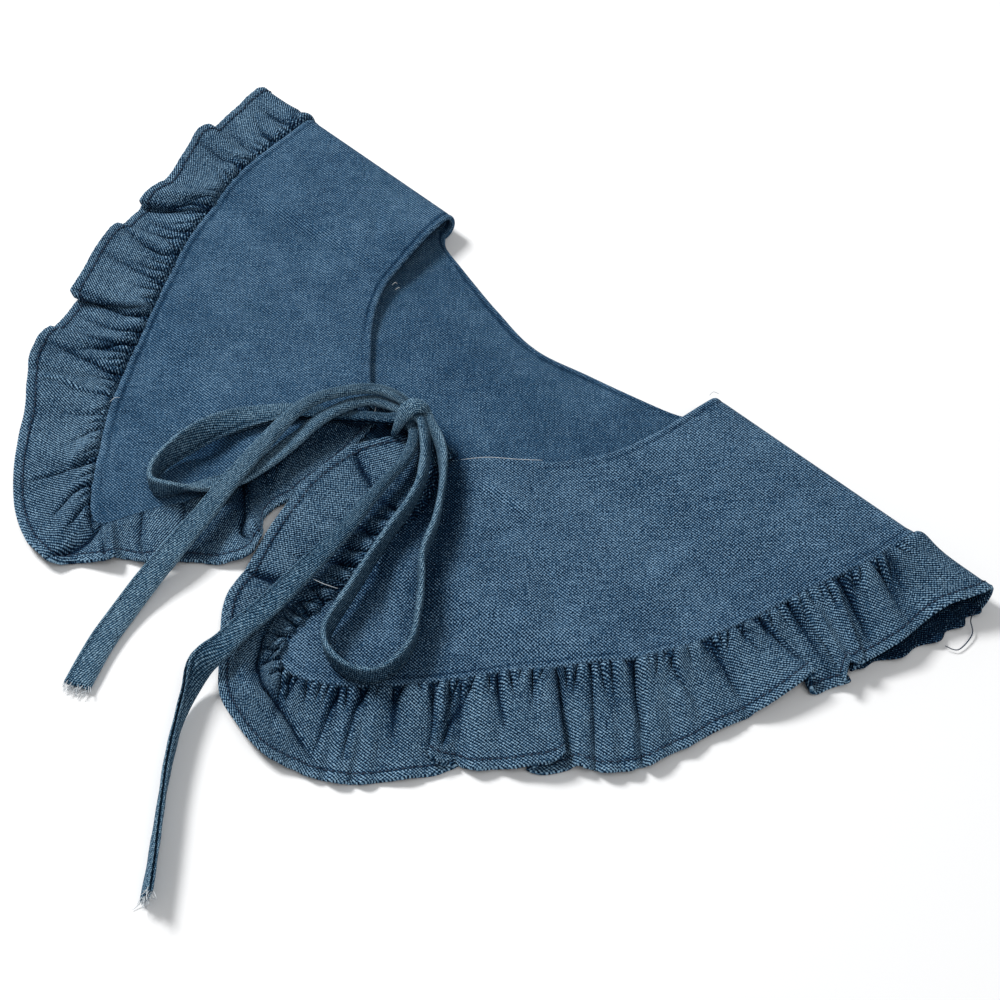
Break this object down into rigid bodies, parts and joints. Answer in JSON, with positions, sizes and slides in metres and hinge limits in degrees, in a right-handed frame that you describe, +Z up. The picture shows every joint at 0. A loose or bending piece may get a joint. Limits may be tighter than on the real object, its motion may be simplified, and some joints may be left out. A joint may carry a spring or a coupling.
{
  "type": "detachable shirt collar",
  "caption": "Detachable bib-shaped denim collar with a gathered ruffle round its edge and two cloth ties in a bow, laid flat and folded at the shoulders.",
  "frame": {"origin": "on the surface it lies on, under the middle of the collar without its ties", "axes": "+X along the shoulder folds towards the wearer's left, +Y from the centre front to the shoulder folds, +Z up from the surface"},
  "size_m": [0.4466, 0.3228, 0.0197],
  "materials": {
    "denim_body": "matt washed denim, two plies, fine twill with pale flecks",
    "denim_ruffle": "matt washed denim, one ply, gathered",
    "denim_tie": "matt washed denim, folded strip with raw ends"
  },
  "bodies": {
    "root": {"body_back": "denim_body", "ruffle_back": "denim_ruffle", "body_front_left": "denim_body", "ruffle_front_left": "denim_ruffle", "body_front_right": "denim_body", "ruffle_front_right": "denim_ruffle", "tie_knot": "denim_tie", "tie_left_root": "denim_tie", "tie_left_loop": "denim_tie", "tie_left_tail": "denim_tie", "tie_right_root": "denim_tie", "tie_right_loop": "denim_tie", "tie_right_tail": "denim_tie"}
  },
  "joints": []
}
